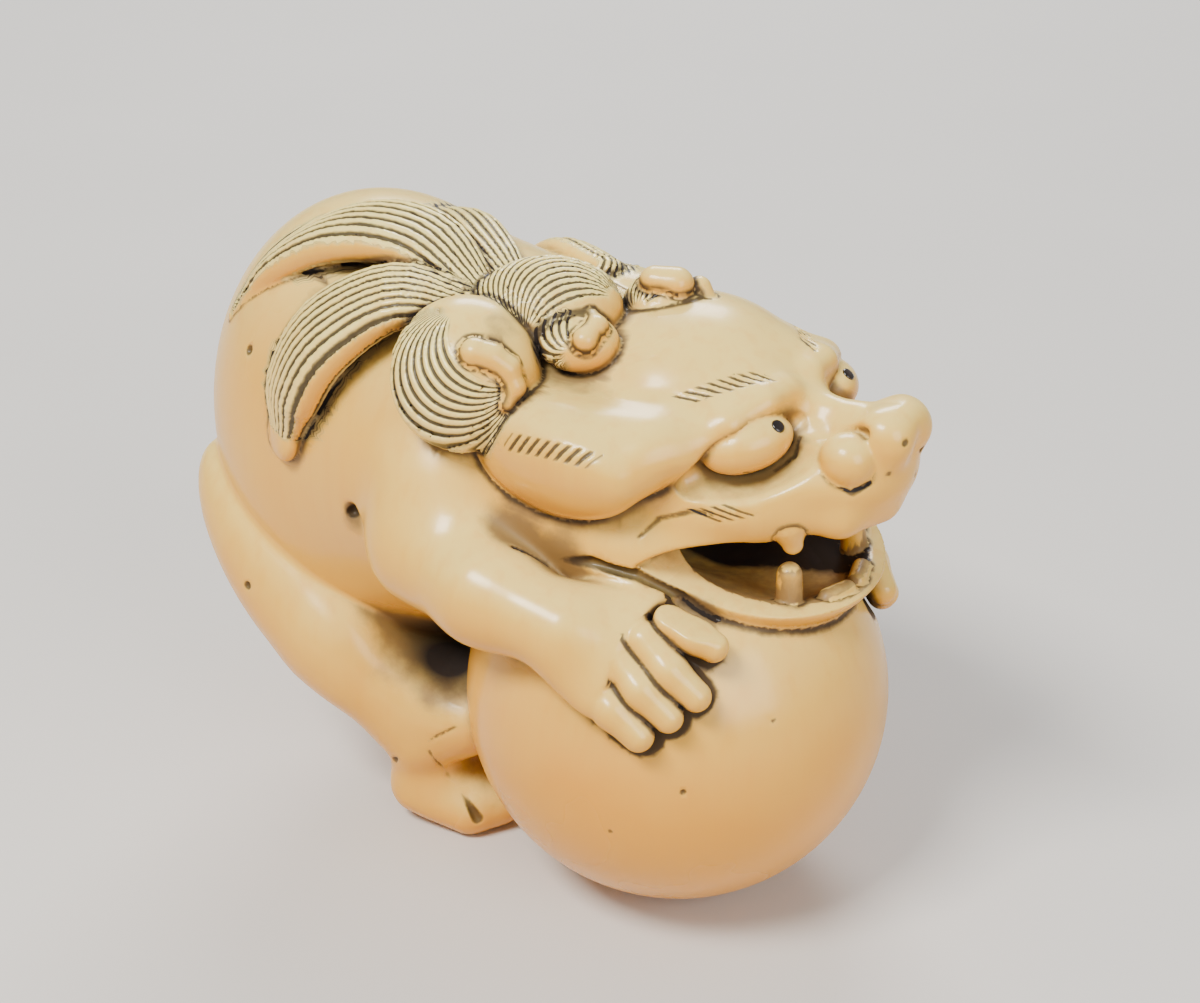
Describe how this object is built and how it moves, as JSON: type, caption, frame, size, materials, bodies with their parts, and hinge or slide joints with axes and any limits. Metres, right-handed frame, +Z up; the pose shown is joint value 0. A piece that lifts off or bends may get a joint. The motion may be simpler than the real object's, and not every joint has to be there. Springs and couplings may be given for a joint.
{
  "type": "netsuke",
  "caption": "Carved ivory netsuke of a crouching lion-dog that rests its head and forepaws on a large smooth ball.",
  "frame": {"origin": "middle of the footprint, on the plane the ball and hind feet rest on", "axes": "+Z up, +X the way the lion faces, +Y its left"},
  "size_m": [0.0408, 0.0246, 0.0328],
  "materials": {
    "ivory": "polished, honey-toned, brown stain in the cuts",
    "horn": "polished"
  },
  "bodies": {
    "root": {"lion_and_ball": "ivory", "pupil_right": "horn", "pupil_left": "horn"}
  },
  "joints": []
}
